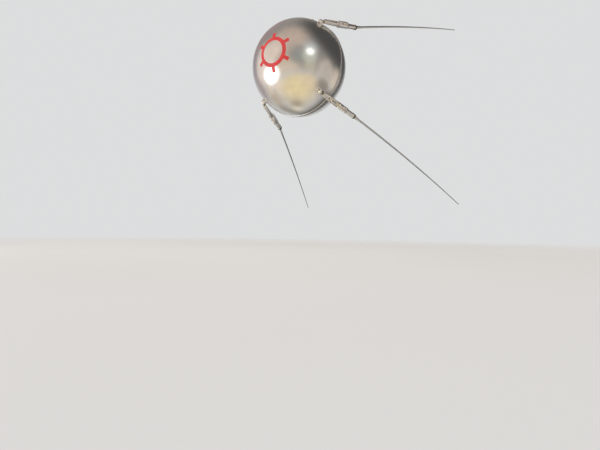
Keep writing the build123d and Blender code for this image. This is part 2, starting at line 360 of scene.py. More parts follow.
def polished_shell(name, marked):
    """Spun and polished aluminium with faint turning rings, hand haze and, in front, a painted mark."""
    looks = bpy.context.scene.satellite_finishes
    wave_height, wave_strength = 0.0022, 0.5
    shader, place = finish(name, looks.shell, looks.shell_rough)
    x, y, z = place.parts()
    from_axis = (x * x + z * z).root()
    smear = noise(place, 11.0, 4.0)
    haze = noise(place, 46.0, 5.0)
    rings = noise(from_axis.make("ShaderNodeCombineXYZ", None, {0: from_axis}), 900.0, 2.0)
    rough = looks.shell_rough - 0.06 + smear * 0.09 + haze * 0.05 + rings * 0.02
    tone = (haze * 0.5 + smear * 0.5).ramp(0.3, 0.75)
    base = tone.blend(looks.shell[:], dimmed(looks.shell, 0.88))
    relief = noise(place, 7.0, 1.0) + rings * 0.004 + haze * 0.012
    if marked:
        paint = painted_mark(x, y, z, from_axis)
        chalk = noise(place, 70.0, 3.0)
        red = chalk.ramp(0.3, 0.8).blend(looks.paint[:], dimmed(looks.paint, 0.8))
        base = paint.blend(base, red)
        rough = rough + paint * (0.2 + chalk * 0.08)
        relief = relief + paint * 0.06
        feed(shader, "Metallic", 1 - paint)
    else:
        shader.inputs["Metallic"].default_value = 1.0
    feed(shader, "Base Color", base)
    feed(shader, "Roughness", rough)
    raise_grain(shader, relief, wave_height, wave_strength)


def painted_mark(x, y, z, from_axis):
    """Open ring with six short bars outside it, painted round the front pole."""
    looks = bpy.context.scene.satellite_finishes
    soft = 4 * tenth
    half = looks.mark_stroke / 2
    ring = (from_axis - looks.mark_ring).size().below(half, soft)
    outside = 1 - from_axis.below(looks.mark_ring, soft)
    inside = from_axis.below(looks.mark_reach, soft)
    lines = [(x * cos(lean) + z * sin(lean)).size() for lean in (0.0, pi / 3, 2 * pi / 3)]
    across = lines[0].least(lines[1]).least(lines[2]).below(half, soft)
    front = y.below(0.0, soft)
    return ring.most(across * outside * inside) * front


def milled_metal(name, base, roughness, stretch, grain=500.0, depth=0.00002, worn=0.85):
    """Metal with fine tool lines along the stretch, wear and small stains."""
    shader, place = finish(name, base, roughness)
    shader.inputs["Metallic"].default_value = 1.0
    lines = noise(place, grain, 3.0, stretch)
    stain = noise(place, 90.0, 4.0)
    feed(shader, "Roughness", roughness - 0.08 + lines * 0.08 + stain * 0.1)
    tone = (lines * 0.35 + stain * 0.65).ramp(0.35, 0.7)
    feed(shader, "Base Color", tone.blend(base[:], dimmed(base, worn)))
    raise_grain(shader, lines, depth)


def black_plastic():
    """Moulded black plastic with a fine grain and a little dust."""
    black = bpy.context.scene.satellite_finishes.black
    dusty = (0.06, 0.06, 0.058)
    grain_height = 0.00003
    shader, place = finish("black_plastic", black, 0.32)
    grain = noise(place, 900.0, 2.0)
    dust = noise(place, 160.0, 4.0)
    feed(shader, "Roughness", 0.24 + dust * 0.2)
    feed(shader, "Base Color", dust.ramp(0.45, 0.8).blend(black[:], dusty))
    raise_grain(shader, grain, grain_height)


def make_finishes():
    """Every material of the object, before its pieces take them."""
    looks = bpy.context.scene.satellite_finishes
    all_ways, polish = (1.0, 1.0, 1.0), 0.00001
    polished_shell("polished_shell_front", True)
    polished_shell("polished_shell_rear", False)
    milled_metal("turned_seam", looks.seam, 0.3, (0.05, 1.0, 0.05), 900.0)
    milled_metal("bright_nickel", looks.bright, 0.16, all_ways, 260.0, polish, 0.9)
    milled_metal("satin_bright", looks.bright, 0.27, all_ways, 260.0, polish, 0.95)
    milled_metal("satin_milled", looks.milled, 0.36, (1.0, 0.04, 1.0))
    milled_metal("turned_holder", looks.milled, 0.27, (0.03, 1.0, 0.03), 900.0)
    milled_metal("drawn_rod", looks.whip, 0.3, (1.0, 0.01, 1.0), 700.0)
    milled_metal("screw_steel", looks.steel, 0.26, all_ways, 600.0)
    milled_metal("dark_steel", dimmed(looks.steel, 0.35), 0.36, all_ways, 600.0)
    milled_metal("dark_bronze", looks.bronze, 0.34, (0.03, 1.0, 0.03), 900.0)
    black_plastic()


# Modelling steps

def deselect():
    if bpy.context.object and bpy.context.object.mode != "OBJECT":
        bpy.ops.object.mode_set(mode="OBJECT")
    bpy.ops.object.select_all(action="DESELECT")


def take(piece):
    """Select one piece alone and make it the active one."""
    deselect()
    piece.select_set(True)
    bpy.context.view_layer.objects.active = piece


def primitive(kind, name, **how):
    """Add a primitive with its size and place in its mesh."""
    deselect()
    getattr(bpy.ops.mesh, "primitive_" + kind + "_add")(**how)
    piece = bpy.context.active_object
    piece.name = name
    bpy.ops.object.transform_apply(location=True, rotation=True, scale=True)
    return piece


@contextmanager
def editing(piece, kind="VERT"):
    """Edit mode on one piece, with everything selected."""
    take(piece)
    bpy.ops.object.mode_set(mode="EDIT")
    bpy.ops.mesh.select_mode(type=kind)
    bpy.ops.mesh.select_all(action="SELECT")
    yield
    bpy.ops.object.mode_set(mode="OBJECT")


def trace(name, points):
    """Draw an outline by extruding one vertex from point to point."""
    piece = primitive("plane", name, size=0.001, location=points[0])
    with editing(piece):
        bpy.ops.mesh.merge(type="CENTER")
        for start, end in zip(points, points[1:]):
            step = Vector(end) - Vector(start)
            bpy.ops.mesh.extrude_region_move(TRANSFORM_OT_translate={"value": step})
    return piece


def close_up():
    """In edit mode, merge doubles and point every face outwards."""
    bpy.ops.mesh.select_all(action="SELECT")
    bpy.ops.mesh.remove_doubles(threshold=same_spot)
    bpy.ops.mesh.normals_make_consistent(inside=False)


def turned(name, outline, steps, closed=False):
    """Part turned about its own Y axis from pairs of radius and place along it."""
    if closed:
        outline = [*outline, outline[0]]
    piece = trace(name, [(radius, place, 0.0) for radius, place in outline])
    with editing(piece):
        bpy.ops.mesh.spin(steps=steps, angle=2 * pi, center=(0, 0, 0), axis=(0, 1, 0))
        close_up()
    return piece


def slab(name, outline, depth):
    """Plate from a closed outline, drawn out by the depth vector."""
    piece = trace(name, [*outline, outline[0]])
    with editing(piece):
        bpy.ops.mesh.remove_doubles(threshold=same_spot)
        bpy.ops.mesh.edge_face_add()
        bpy.ops.mesh.extrude_region_move(TRANSFORM_OT_translate={"value": depth})
        close_up()
    return piece


def block(name, low, high):
    """Box between two corners."""
    low, high = Vector(low), Vector(high)
    return primitive("cube", name, size=1.0, location=(low + high) / 2, scale=high - low)


def change(piece, kind, **how):
    """Add one modifier to a piece and apply it."""
    take(piece)
    modifier = piece.modifiers.new("change", kind)
    for key, value in how.items():
        setattr(modifier, key, value)
    bpy.ops.object.modifier_apply(modifier=modifier.name)
    return piece


def carve(piece, tool):
    """Cut a tool out of a piece and remove the tool."""
    change(piece, "BOOLEAN", operation="DIFFERENCE", object=tool, solver="EXACT")
    bpy.data.objects.remove(tool)
    return piece


def break_edges(piece, width, sharper_than=35):
    """Round off the sharp edges of a piece."""
    return change(piece, "BEVEL", width=width, segments=2, limit_method="ANGLE",
                  angle_limit=radians(sharper_than))


def round_uprights(piece, radius, segments, up_to):
    """Round the upright edges of a plate, as far along it as up_to."""
    with editing(piece, "EDGE"):
        bpy.ops.mesh.select_all(action="DESELECT")
        mesh = bmesh.from_edit_mesh(piece.data)
        for edge in mesh.edges:
            one, other = (corner.co for corner in edge.verts)
            if max(one.y, other.y) < up_to + same_spot and abs(one.z - other.z) > same_spot:
                edge.select_set(True)
        mesh.select_flush_mode()
        bmesh.update_edit_mesh(piece.data)
        bpy.ops.mesh.bevel(offset=radius, segments=segments, affect="EDGES")
    return piece


def smooth(piece, sharper_than=32):
    take(piece)
    bpy.ops.object.shade_smooth_by_angle(angle=radians(sharper_than))
    return piece


def join(pieces, name):
    """Several loose parts of one thing as a single piece."""
    deselect()
    for piece in pieces:
        piece.select_set(True)
    bpy.context.view_layer.objects.active = pieces[0]
    bpy.ops.object.join()
    pieces[0].name = name
    return pieces[0]


def duplicate(piece):
    """Copy of a part, with a mesh of its own."""
    copy = piece.copy()
    copy.data = piece.data.copy()
    bpy.context.scene.collection.objects.link(copy)
    return copy


def copies(piece, places, name):
    """One piece made of copies of a part, each set in its place. The part itself is removed."""
    made = [duplicate(piece) for _ in places]
    for copy, place in zip(made, places):
        copy.data.transform(place)
    bpy.data.objects.remove(piece)
    return join(made, name)


def settle(piece, name, place, body, slot, material, *stands_for, drawn_here=False):
    """Put a copy of a part in its place, unless it was drawn there, with its finish, body and nodes."""
    copy = duplicate(piece)
    copy.name = name
    copy.data.name = name
    if drawn_here:
        own = [place.inverted() @ corner.co for corner in copy.data.vertices]
    else:
        own = [corner.co.copy() for corner in copy.data.vertices]
        copy.data.transform(place)
    mark = copy.data.attributes.new(own_place, "FLOAT_VECTOR", "POINT")
    mark.data.foreach_set("vector", [part for point in own for part in point])
    copy.data.materials.clear()
    copy.data.materials.append(bpy.data.materials[material])
    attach(copy, body)
    if stands_for:
        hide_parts(*stands_for)


def settle_once(piece, *what, **how):
    """Settle a part that is needed only once, and remove it."""
    settle(piece, *what, **how)
    bpy.data.objects.remove(piece)


def arc(radius, start, end, steps):
    """Points of an arc from one angle to another, counted from the second axis towards the first."""
    angles = [start + (end - start) * step / steps for step in range(steps + 1)]
    return [(radius * sin(angle), radius * cos(angle)) for angle in angles]


def rounded(outline):
    """Outline of (radius, along, rounding) with each rounded corner drawn as an arc."""
    steps = 3
    points = []
    for number, (radius, place, rounding) in enumerate(outline):
        corner = Vector((radius, place))
        if not rounding:
            points.append(corner)
            continue
        before = Vector(outline[number - 1][:2])
        after = Vector(outline[(number + 1) % len(outline)][:2])
        start = corner + (before - corner).normalized() * rounding
        end = corner + (after - corner).normalized() * rounding
        for step in range(steps + 1):
            share_along = step / steps
            points.append(start.lerp(corner, share_along).lerp(corner.lerp(end, share_along), share_along))
    return [(point.x, point.y) for point in points]


def disc(name, radius, low, high, low_edge, high_edge, steps):
    """Round plate from one place to another along its own Y axis, with the rounding of each rim."""
    return turned(name, rounded([(0.0, low, 0), (radius, low, low_edge), (radius, high, high_edge),
                                 (0.0, high, 0)]), steps)


def cap_screw(name, radius, height, socket_share, steps):
    """Head of a cap screw from its seat to its top along +Y. Its socket is a share of its radius."""
    edge = radius * 0.14
    socket_depth = height * 0.6
    head = disc(name, radius, 0.0, height, edge / 2, edge, steps)
    tool = primitive("cylinder", "socket_tool", vertices=6, radius=radius * socket_share,
                     depth=2 * socket_depth, location=(0, height, 0), rotation=on_its_side)
    return smooth(carve(head, tool))


# Places taken from the frame

def ball_place():
    """Centre and radius of the ball, and where its front shell ends and its rear shell starts."""
    low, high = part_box("front_shell")
    radius = (high.x - low.x) / 2
    centre = Vector(((low.x + high.x) / 2, low.y + radius, (low.z + high.z) / 2))
    return centre, radius, high.y - centre.y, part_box("rear_shell")[0].y - centre.y


class Antenna:
    """Place of one antenna: its own x runs across the arm, y along it and z away from the ball."""

    def __init__(self, joint):
        self.body = joint["child"]
        self.name = self.body.replace("antenna_", "")
        self.right = "right" in self.name
        self.upper = "upper" in self.name
        centre, radius = ball_place()[:2]
        across = -Vector(joint["axis"])
        self.radial = across.cross(along_axis)
        pivot = Vector(joint["pos_m"])
        self.arm = frame_of(pivot, across, self.way_out(bpy.context.scene.satellite_arm.splay))
        outward = (pivot - centre).normalized()
        self.pivot_height = (pivot - centre).length - radius
        self.seat = frame_of(centre + outward * radius, across, outward.cross(across))

    def way_out(self, splay):
        """Direction that leans out from the ball's axis by the splay."""
        return along_axis * cos(splay) + self.radial * sin(splay)


def frame_of(origin, across, along):
    """Matrix from a part's own coordinates to the shared frame."""
    out = across.cross(along)
    turned_to = Matrix((across, along, out)).transposed().to_4x4()
    return Matrix.Translation(origin) @ turned_to


def antennas():
    return [Antenna(joint) for joint in frame["joints"]]


def on_shell(antenna):
    """Fixed to the ball, seated on its shell."""
    return antenna.seat, "ball"


def at_pivot(antenna):
    """Fixed to the ball, at the hinge's pivot."""
    return antenna.arm, "ball"


def on_arm(antenna):
    """In line with the arm, and moving with it."""
    return antenna.arm, antenna.body


def spread_copies(piece, what, where, slot, material, node=None):
    """Settle one copy of a part on each antenna and remove the part."""
    for antenna in antennas():
        nodes = [node + "_" + antenna.name] if node else []
        settle(piece, what + "_" + antenna.name, *where(antenna), slot, material, *nodes)
    bpy.data.objects.remove(piece)


# One operator for each group of like pieces

class HalfShells(bpy.types.Operator):
    """Two polished half shells, spun from sheet"""
    bl_idname = "satellite.half_shells"
    bl_label = "Half Shells"

    def execute(self, context):
        sizes = context.scene.satellite_ball
        centre, radius, front_end, rear_start = ball_place()
        place = Matrix.Translation(centre)
        for side, cut, way in (("front", front_end, 1), ("rear", rear_start, -1)):
            half = primitive("uv_sphere", "half", segments=160, ring_count=96, radius=radius,
                             rotation=on_its_side)
            with editing(half):
                bpy.ops.mesh.bisect(plane_co=(0, cut, 0), plane_no=(0, way, 0), clear_outer=True)
            smooth(change(half, "SOLIDIFY", thickness=sizes.wall, offset=-1), sharper_than=50)
            settle_once(half, side + "_half", place, "ball", "polished_shell", "polished_shell_" + side,
                        side + "_shell")
        return {"FINISHED"}


class SeamRings(bpy.types.Operator):
    """Front and rear flange of the seam, the rear one with a pocket for each screw"""
    bl_idname = "satellite.seam_rings"
    bl_label = "Seam Rings"

    def execute(self, context):
        sizes = context.scene.satellite_ball
        centre, radius, front, rim_rear = ball_place()
        seam = front + sizes.front_depth
        band_rear = seam + sizes.rear_depth
        inner, outer = radius - sizes.flange_reach, radius + sizes.flange_proud
        steps = 5 * sizes.screw_count
        slight = sizes.edge_round / 3
        front_ring = turned("front_ring", rounded([
            (inner, front, slight), (outer, front, sizes.edge_round), (outer, seam, slight / 2),
            (inner, seam, slight)]), steps, closed=True)
        rim_inner = radius - sizes.rim_wall
        arc_steps = 5
        rests = [band_rear + (rim_rear - band_rear) * step / arc_steps for step in range(arc_steps + 1)]
        outside = [(sqrt(radius**2 - rest**2), rest) for rest in rests]
        band = rounded([(outer, band_rear, slight), (outer, seam, slight / 2), (inner, seam, slight),
                        (inner, band_rear, 0)])
        rear_ring = turned("rear_ring", [*band, (rim_inner, band_rear), (rim_inner, rim_rear),
                                         *outside[::-1]], steps, closed=True)
        tool = primitive("cylinder", "pocket", vertices=32, radius=sizes.pocket_radius,
                         depth=2 * sizes.pocket_depth, rotation=on_its_side,
                         location=(0, band_rear, radius - sizes.screw_inset))
        with editing(tool):
            bpy.ops.mesh.bisect(plane_co=(0, band_rear, 0), plane_no=(0, -1, 0), clear_outer=True,
                                use_fill=True)
        carve(rear_ring, copies(tool, ring_of(sizes.screw_count), "pockets"))
        for ring, side in ((front_ring, "front"), (rear_ring, "rear")):
            settle_once(smooth(ring), side + "_seam_ring", Matrix.Translation(centre), "ball", "seam_metal",
                        "turned_seam", side + "_flange")
        return {"FINISHED"}


def ring_of(count):
    """Turns about the ball's axis, evenly spaced."""
    return [Matrix.Rotation(2 * pi * number / count, 4, "Y") for number in range(count)]


class SeamScrews(bpy.types.Operator):
    """Cap screws with washers, one in each pocket of the seam"""
    bl_idname = "satellite.seam_screws"
    bl_label = "Seam Screws"

    def execute(self, context):
        sizes = context.scene.satellite_ball
        centre, radius, front, _ = ball_place()
        band_rear = front + sizes.front_depth + sizes.rear_depth
        screw = cap_screw("screw", sizes.screw_head, sizes.screw_height, socket_share=0.52, steps=20)
        screw.data.transform(Matrix.Translation((0, sizes.washer_height, 0)))
        edge = sizes.washer_height / 3
        washer = disc("washer", sizes.washer, 0.0, sizes.washer_height, edge, edge, steps=20)
        screw = join([screw, smooth(washer)], "screw")
        screw.data.transform(Matrix.Translation((0, band_rear, radius - sizes.screw_inset)))
        screws = copies(screw, ring_of(sizes.screw_count), "screws")
        settle_once(screws, "seam_screws", Matrix.Translation(centre), "ball", "bright_fitting",
                    "screw_steel")
        return {"FINISHED"}


class HangingEyes(bpy.types.Operator):
    """Two ring eyes on top of the seam"""
    bl_idname = "satellite.hanging_eyes"
    bl_label = "Hanging Eyes"

    def execute(self, context):
        sizes = context.scene.satellite_eyes
        ball = context.scene.satellite_ball
        centre, radius, front, _ = ball_place()
        middle_y = front + ball.front_depth + ball.rear_depth / 2
        band = radius + ball.flange_proud
        wire = (sizes.outer - sizes.bore) / 2
        ring = primitive("torus", "ring", major_segments=48, minor_segments=20,
                         major_radius=sizes.bore + wire, minor_radius=wire,
                         location=(0, 0, sizes.neck + sizes.outer), rotation=on_its_side)
        screwed_in = -0.004
        collar, collar_top = sizes.shank * 1.5, sizes.neck * 0.6
        top = sizes.neck + wire
        shank = turned("shank", rounded([
            (0.0, screwed_in, 0), (sizes.shank, screwed_in, 0), (sizes.shank, 0.0, 0),
            (collar, 0.0, 2 * tenth), (collar, collar_top, 4 * tenth), (sizes.shank, collar_top, 3 * tenth),
            (sizes.shank, top, 8 * tenth), (0.0, top, 0)]), steps=32)
        shank.data.transform(stand_up)
        eye = smooth(join([ring, shank], "eye"), sharper_than=40)
        for way, side in ((-1, "left"), (1, "right")):
            place = (Matrix.Translation(centre) @ Matrix.Rotation(way * sizes.spread, 4, "Y")
                     @ Matrix.Translation((0, middle_y, band)))
            settle(eye, "ring_eye_" + side, place, "ball", "bright_fitting", "bright_nickel",
                   "hanging_eye_" + side)
        bpy.data.objects.remove(eye)
        return {"FINISHED"}


class Hinges(bpy.types.Operator):
    """Hinge pads with their ears, pins and screws"""
    bl_idname = "satellite.hinges"
    bl_label = "Hinges"

    def execute(self, context):
        sizes = context.scene.satellite_hinge
        radius = ball_place()[1]
        under = radius + sizes.pad_gap
        over = under + sizes.pad_height
        self.add_seats(sizes, radius, under, over)
        self.add_pins(sizes)
        self.add_screws(sizes, radius, over)
        return {"FINISHED"}

    def add_seats(self, sizes, radius, under, over):
        """Domed pads that follow the shell, each with two ears."""
        bottom, top = ([(across, height - radius) for across, height in
                        arc(face, 0.0, asin(sizes.pad / face), steps=6)] for face in (under, over))
        edge = sizes.pad_height / 4
        rim_at, rim_height = top[-1]
        rim = [(rim_at, rim_height - edge), (rim_at - edge, rim_height + edge / 8)]
        pad = turned("pad", bottom + rim + top[-2::-1], steps=64)
        pad.data.transform(stand_up)
        foot = sizes.pad_height / 2
        pivot_height = antennas()[0].pivot_height
        ear_line = [(0, -sizes.ear, foot), (0, sizes.ear, foot)]
        ear_line += [(0, y, pivot_height + z) for y, z in arc(sizes.ear, pi / 2, -pi / 2, steps=14)]
        ear = break_edges(slab("ear", ear_line, (sizes.ear_width, 0, 0)), 3 * tenth)
        shifts = [Matrix.Translation((-sizes.ear_inside - sizes.ear_width, 0, 0)),
                  Matrix.Translation((sizes.ear_inside, 0, 0))]
        seat = smooth(join([pad, copies(ear, shifts, "ears")], "seat"))
        spread_copies(seat, "clevis", on_shell, "bright_fitting", "bright_nickel", "hinge_seat")

    def add_pins(self, sizes):
        """Pins with a domed head at each end, turned from the mirrored outline of one half."""
        reach = sizes.ear_inside + sizes.ear_width
        tip = reach + sizes.pin_head_height
        half = rounded([(sizes.pin, 0.0, 0), (sizes.pin, reach, 0), (sizes.pin_head, reach, 2 * tenth),
                        (sizes.pin_head, tip, 8 * tenth), (0.0, tip, 0)])
        pin = turned("pin", [(out, -along) for out, along in half[:0:-1]] + half[1:], steps=32)
        pin.data.transform(lie_across)
        spread_copies(smooth(pin), "rivet", at_pivot, "bright_fitting", "bright_nickel", "hinge_pin")

    def add_screws(self, sizes, radius, over):
        """Four small screws on each pad, which lean with its dome."""
        screw = cap_screw("pad_screw", sizes.pad_screw, sizes.pad_screw_height, socket_share=0.5, steps=16)
        screw.data.transform(stand_up)
        places = []
        for x in (-sizes.pad_screw_across, sizes.pad_screw_across):
            for y in (-sizes.pad_screw_along, sizes.pad_screw_along):
                lean = Matrix.Rotation(-y / over, 4, "X") @ Matrix.Rotation(x / over, 4, "Y")
                places.append(Matrix.Translation((0, 0, -radius)) @ lean @ Matrix.Translation((0, 0, over)))
        screws = copies(screw, places, "pad_screws")
        spread_copies(screws, "pad_screws", on_shell, "bright_fitting", "screw_steel")


class Swivels(bpy.types.Operator):
    """Flattened root balls on their necks, with dark collars"""
    bl_idname = "satellite.swivels"
    bl_label = "Swivels"

    def execute(self, context):
        sizes = context.scene.satellite_hinge
        ball = primitive("uv_sphere", "ball", segments=40, ring_count=24, radius=sizes.swivel)
        with editing(ball):
            for side in (-1, 1):
                bpy.ops.mesh.select_all(action="SELECT")
                bpy.ops.mesh.bisect(plane_co=(side * sizes.swivel_half, 0, 0), plane_no=(side, 0, 0),
                                    clear_outer=True, use_fill=True)
        flare = sizes.neck * 1.3
        start = sizes.swivel * 0.75
        flare_end, neck_start = start + 6 * tenth, start + 18 * tenth
        neck = turned("neck", rounded([
            (0.0, start, 0), (flare, start, 0), (flare, flare_end, 0), (sizes.neck, neck_start, 6 * tenth),
            (sizes.neck, sizes.neck_end, 4 * tenth), (0.0, sizes.neck_end, 0)]), steps=32)
        root = smooth(join([ball, neck], "root"))
        spread_copies(root, "swivel", on_arm, "bright_fitting", "bright_nickel", "root_ball")
        self.add_sleeves(sizes)
        return {"FINISHED"}

    def add_sleeves(self, sizes):
        """Dark collars with three grooves."""
        inner, outer = sizes.neck + bore_gap, sizes.sleeve
        start, end = sizes.sleeve_start, sizes.sleeve_end
        grooves, groove = 3, 4 * tenth
        outline = [(inner, start, 0), (outer, start, 4 * tenth)]
        for number in range(1, grooves + 1):
            place = start + (end - start) * number / (grooves + 1)
            outline += [(outer, place - groove, tenth), (outer - groove, place - groove / 2, 0),
                        (outer - groove, place + groove / 2, 0), (outer, place + groove, tenth)]
        outline += [(outer, end, 4 * tenth), (inner, end, 0)]
        sleeve = smooth(turned("sleeve", rounded(outline), steps=40, closed=True))
        spread_copies(sleeve, "sleeve", on_arm, "dark_bush", "dark_bronze", "root_collar")


class ChannelArms(bpy.types.Operator):
    """Milled channel arms that widen from their necks, with dark plugs that stand for the shade inside
    their web holes, and the tongues' screws
    """
    bl_idname = "satellite.channel_arms"
    bl_label = "Channel Arms"

    def plan(self, name, sizes, start, end, inset, low, high):
        """Plate of the arm's plan, drawn in by the inset, from one level to another."""
        taper = (sizes.width - sizes.front_width) / 2 / (sizes.full_at - sizes.start)
        narrow = sizes.front_width / 2 + taper * (start - sizes.start) - inset
        wide = sizes.width / 2 - inset
        outline = [(-narrow, start), (-wide, sizes.full_at), (-wide, end), (wide, end),
                   (wide, sizes.full_at), (narrow, start)]
        return slab(name, [(x, y, low) for x, y in outline], (0, 0, high - low))

    def execute(self, context):
        sizes = context.scene.satellite_arm
        hinge = context.scene.satellite_hinge
        web = sizes.wall - sizes.below
        arm = self.plan("arm", sizes, sizes.start, sizes.end, 0, -sizes.below, sizes.above)
        round_uprights(arm, sizes.corner, corner_steps, sizes.start)
        trough = self.plan("trough", sizes, sizes.block_end, sizes.end + sizes.wall, sizes.wall, web,
                           sizes.above + sizes.wall)
        carve(arm, round_uprights(trough, sizes.corner / 3, corner_steps, sizes.block_end))
        carve(arm, primitive("cylinder", "hole", vertices=40, radius=sizes.hole, depth=4 * sizes.wall,
                             location=(0, sizes.hole_at, -sizes.below)))
        carve(arm, primitive("cylinder", "neck_hole", vertices=32, radius=hinge.neck + bore_gap,
                             depth=hinge.neck_end, location=(0, hinge.neck_end / 2, 0),
                             rotation=on_its_side))
        smooth(break_edges(arm, sizes.edge))
        spread_copies(arm, "channel", on_arm, "holder_metal", "satin_milled", "arm_channel")
        self.add_screws(sizes, web)
        self.add_shade_plugs(sizes)
        return {"FINISHED"}

    def add_screws(self, sizes, web):
        """Screws that hold the clamps' tongues down on the webs."""
        screw = cap_screw("tongue_screw", sizes.tongue_screw, sizes.tongue_screw_height,
                          socket_share=0.55, steps=24)
        screw.data.transform(stand_up)
        level = web + sizes.tongue_height
        places = [Matrix.Translation((0, spot, level)) for spot in tongue_screw_spots]
        screws = copies(screw, places, "tongue_screws")
        spread_copies(screws, "tongue_screws", on_arm, "dark_bush", "dark_steel")

    def add_shade_plugs(self, sizes):
        """Dark plugs in the holes of the arms' webs, standing in as painted shade for the shaded inside of
        each hole.
        """
        slight = sizes.wall / 8
        plug = disc("plug", sizes.hole - slight / 4, slight, sizes.wall - slight, slight, slight, steps=32)
        plug.data.transform(Matrix.Translation((0, sizes.hole_at, -sizes.below)) @ stand_up)
        spread_copies(smooth(plug), "plug", on_arm, "dark_bush", "black_plastic")


class Clamps(bpy.types.Operator):
    """Split clamps with their tongues, cross bolts and nuts"""
    bl_idname = "satellite.clamps"
    bl_label = "Split Clamps"

    def execute(self, context):
        sizes = context.scene.satellite_arm
        bore = context.scene.satellite_holder.seat + bore_gap
        plate = [(0.0, sizes.end), (bore, sizes.end), (bore, sizes.end + sizes.slit),
                 (0.0, sizes.end + sizes.slit)]
        pieces = [self.draw_body(sizes, bore), self.draw_tongue(sizes),
                  turned("end_plate", plate, steps=40)]
        clamp = smooth(join(pieces, "clamp"))
        spread_copies(clamp, "split_clamp", on_arm, "holder_metal", "satin_milled", "arm_clamp")
        self.add_bolts(sizes)
        return {"FINISHED"}

    def draw_body(self, sizes, bore):
        """Ring with two lugs and a slit between them, drawn out along the arm."""
        slit, lug, steps = sizes.slit / 2, sizes.lug, 40
        open_outside, open_inside = asin(lug / sizes.clamp), asin(slit / bore)
        outline = [(slit, sizes.lug_height), (lug, sizes.lug_height),
                   *arc(sizes.clamp, open_outside, 2 * pi - open_outside, steps),
                   (-lug, sizes.lug_height), (-slit, sizes.lug_height),
                   *arc(bore, 2 * pi - open_inside, open_inside, steps)]
        body = slab("body", [(x, sizes.end, z) for x, z in outline], (0, sizes.clamp_end - sizes.end, 0))
        return break_edges(body, sizes.edge, sharper_than=50)

    def draw_tongue(self, sizes):
        """Tongue that lies in the channel, its front end rounded."""
        half = sizes.width / 2 - sizes.wall - sizes.tongue_gap
        web = sizes.wall - sizes.below
        tongue = block("tongue", (-half, sizes.tongue_start, web),
                       (half, sizes.end + sizes.wall / 2, web + sizes.tongue_height))
        return break_edges(round_uprights(tongue, half / 2, corner_steps, sizes.tongue_start), sizes.edge)

    def add_bolts(self, sizes):
        """Domed cross bolts with their nuts. The heads of each pair of antennas point outwards."""
        rim = sizes.bolt_head * 0.35
        dome = [(sizes.bolt * cos(radians(angle)), rim + (sizes.bolt_head - rim) * sin(radians(angle)))
                for angle in range(0, 91, 15)]
        head = turned("bolt", [(0.0, 0.0), (sizes.bolt, 0.0), *dome], steps=32)
        head.data.transform(lie_across @ Matrix.Translation((0, sizes.lug, 0)))
        thread, thread_end = sizes.nut / 2, sizes.nut_height * 1.5
        tail = disc("tail", thread, 0.0, thread_end, 0, 3 * tenth, steps=20)
        nut = primitive("cylinder", "nut", vertices=6, radius=sizes.nut, depth=sizes.nut_height,
                        location=(0, sizes.nut_height / 2, 0), rotation=on_its_side)
        nut = join([break_edges(nut, 2.5 * tenth, sharper_than=40), tail], "nut")
        nut.data.transform(lie_back @ Matrix.Translation((0, sizes.lug, 0)))
        bolt = smooth(join([head, nut], "bolt"))
        for antenna in antennas():
            facing_out = Matrix.Rotation(0.0 if antenna.right else pi, 4, "Z")
            places = [Matrix.Translation((0, spot, sizes.bolt_height)) @ facing_out for spot in bolt_spots]
            bolts = copies(duplicate(bolt), places, "bolts")
            settle_once(bolts, "clamp_bolts_" + antenna.name, antenna.arm, antenna.body, "bright_fitting",
                        "satin_bright")
        bpy.data.objects.remove(bolt)


